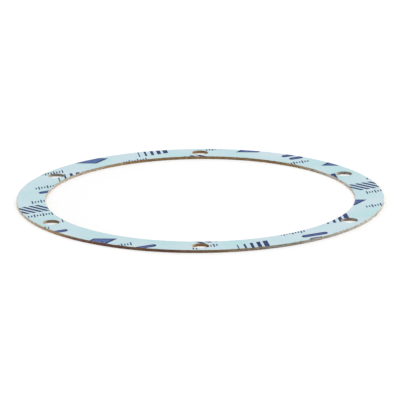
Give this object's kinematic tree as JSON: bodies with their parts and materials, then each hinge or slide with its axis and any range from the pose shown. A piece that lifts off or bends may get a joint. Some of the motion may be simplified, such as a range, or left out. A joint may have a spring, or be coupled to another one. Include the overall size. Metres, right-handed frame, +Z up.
{
  "type": "cover gasket",
  "caption": "Flat ring gasket cut from pale blue printed fibre sheet, with a circle of bolt holes, for sealing a round cover to its housing.",
  "frame": {"origin": "centre of the ring on its underside", "axes": "+Z up along the ring's axis, out of the printed face, with one bolt hole on +Y and one on -Y"},
  "size_m": [0.2, 0.2, 0.0016],
  "materials": {
    "fibre_sheet": "matte"
  },
  "bodies": {
    "root": {"gasket": "fibre_sheet"}
  },
  "joints": []
}
